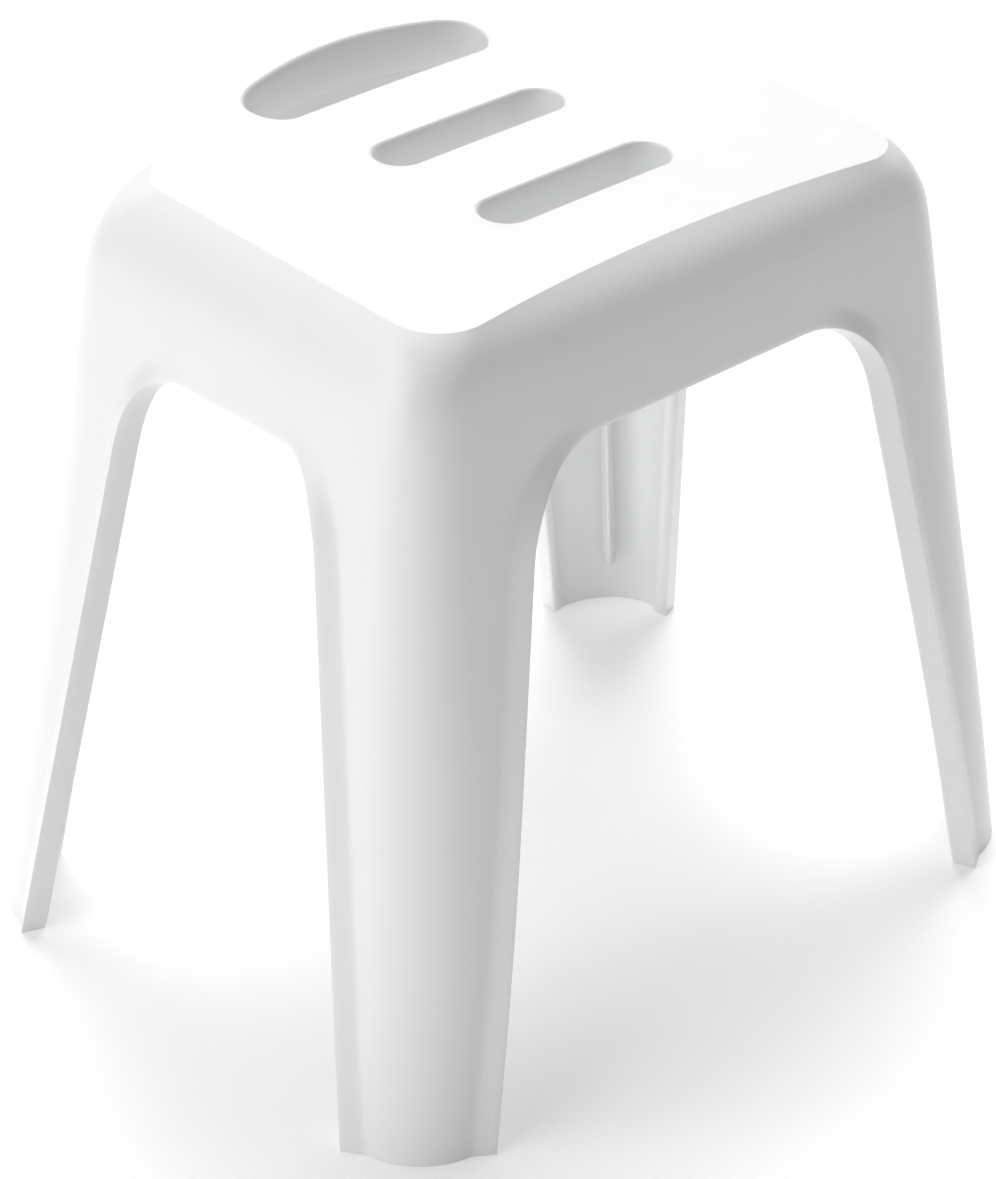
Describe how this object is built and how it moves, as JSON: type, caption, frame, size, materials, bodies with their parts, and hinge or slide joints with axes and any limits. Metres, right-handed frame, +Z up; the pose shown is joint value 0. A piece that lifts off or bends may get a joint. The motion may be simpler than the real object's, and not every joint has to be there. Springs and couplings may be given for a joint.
{
  "type": "shower stool",
  "caption": "One-piece moulded shower stool with a gently sloping seat, a hand hole in a raised bow at the back, drain slots and splayed channel legs",
  "frame": {"origin": "on the floor, under the middle of the overall box of the footprint", "axes": "+X to the stool's right along its front edge, +Y toward the back edge with the hand hole, +Z up"},
  "size_m": [0.496, 0.365, 0.4436],
  "materials": {
    "moulding": "smooth white polypropylene, satin to glossy, as it leaves the mould",
    "moulding_inside": "the same white polypropylene on the inner side of the moulding"
  },
  "bodies": {
    "root": {"seat_deck": "moulding", "front_apron": "moulding", "back_grip_apron": "moulding", "left_apron": "moulding", "right_apron": "moulding", "leg_front_left": "moulding", "leg_front_right": "moulding", "leg_back_left": "moulding", "leg_back_right": "moulding", "leg_fin_front_left": "moulding_inside", "leg_fin_front_right": "moulding_inside", "leg_fin_back_left": "moulding_inside", "leg_fin_back_right": "moulding_inside", "near_slot_collar": "moulding_inside", "far_slot_collar": "moulding_inside", "hand_hole_collar": "moulding_inside", "seat_rib_near": "moulding_inside", "seat_rib_mid": "moulding_inside", "seat_rib_far": "moulding_inside", "seat_rib_left_near": "moulding_inside", "seat_rib_left_far": "moulding_inside", "seat_rib_right_near": "moulding_inside", "seat_rib_right_far": "moulding_inside"}
  },
  "joints": []
}
